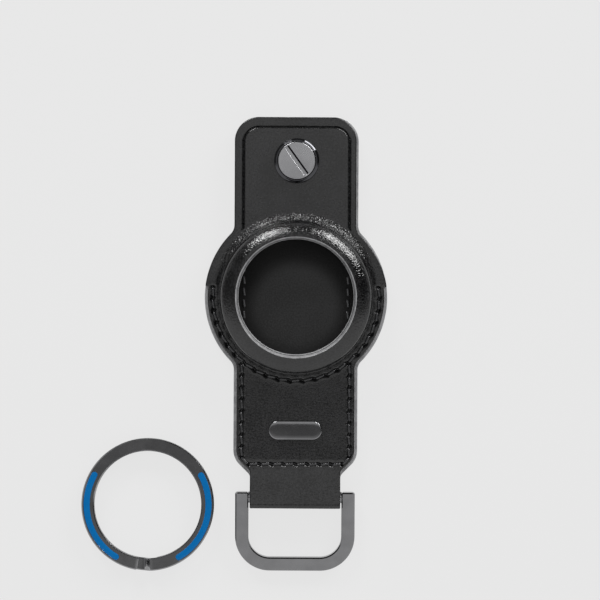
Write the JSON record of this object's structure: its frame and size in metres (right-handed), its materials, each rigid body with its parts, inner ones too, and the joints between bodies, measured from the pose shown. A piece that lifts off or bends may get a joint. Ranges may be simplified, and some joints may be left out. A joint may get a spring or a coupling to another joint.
{
  "type": "tracker tag holder",
  "caption": "Leather key holder for a round tracker tag: raised ring with a window, screw-closed tab, strap with a D-ring and a loose split ring.",
  "frame": {"origin": "on the back face, on the axis of the round pocket", "axes": "+Y towards the tab, +Z out of the front through the window, +X to the right as the front is seen; the holder lies on its back"},
  "size_m": [0.0747, 0.1111, 0.0107],
  "materials": {
    "leather": "smooth polished black calf leather with painted grey edges",
    "lining": "smooth black lining leather",
    "thread": "waxed black thread",
    "gunmetal": "polished gunmetal plating",
    "satin_gunmetal": "satin gunmetal plating",
    "dark_chrome": "dark polished plating",
    "steel": "plain steel sheet",
    "enamel": "glossy blue enamel"
  },
  "bodies": {
    "holder": {"front_leather": "leather", "front_lining": "lining", "back_leather": "leather", "back_lining": "lining", "front_needle_thread": "thread", "back_bobbin_thread": "thread", "lining_seam_thread": "thread", "badge": "gunmetal", "badge_clip": "steel"},
    "back_leaf": {"leaf_leather": "leather", "leaf_lining": "lining", "leaf_seam_thread": "thread", "closure_post": "gunmetal"},
    "rosette": {"screw_rosette": "dark_chrome"},
    "screw": {"closure_screw": "satin_gunmetal"},
    "ring": {"d_ring": "gunmetal"},
    "key_ring": {"split_ring": "gunmetal", "enamel_left": "enamel", "enamel_right": "enamel"}
  },
  "joints": [
    {"name": "leaf_fold", "type": "hinge", "parent": "holder", "child": "back_leaf", "pos_m": [0, 0.0028, 0], "axis": [-1, 0, 0], "range_deg": [0, 75]},
    {"name": "screw_lift", "type": "slide", "parent": "holder", "child": "rosette", "axis": [0, 0, 1], "range_m": [0, 0.0025]},
    {"name": "screw_turn", "type": "hinge", "parent": "rosette", "child": "screw", "pos_m": [0, 0.0334, 0], "axis": [0, 0, 1], "range_deg": [0, 1800]},
    {"name": "d_ring_swing", "type": "hinge", "parent": "holder", "child": "ring", "pos_m": [0, -0.0488, 0.0028], "axis": [-1, 0, 0], "range_deg": [-130, 155]},
    {"name": "key_ring_lift", "type": "slide", "parent": "holder", "child": "key_ring", "axis": [0, 0, 1], "range_m": [0, 0.06]}
  ],
  "couplings": [
    {"joint": "screw_turn", "follows": "screw_lift", "rad_per_m": 12566}
  ]
}
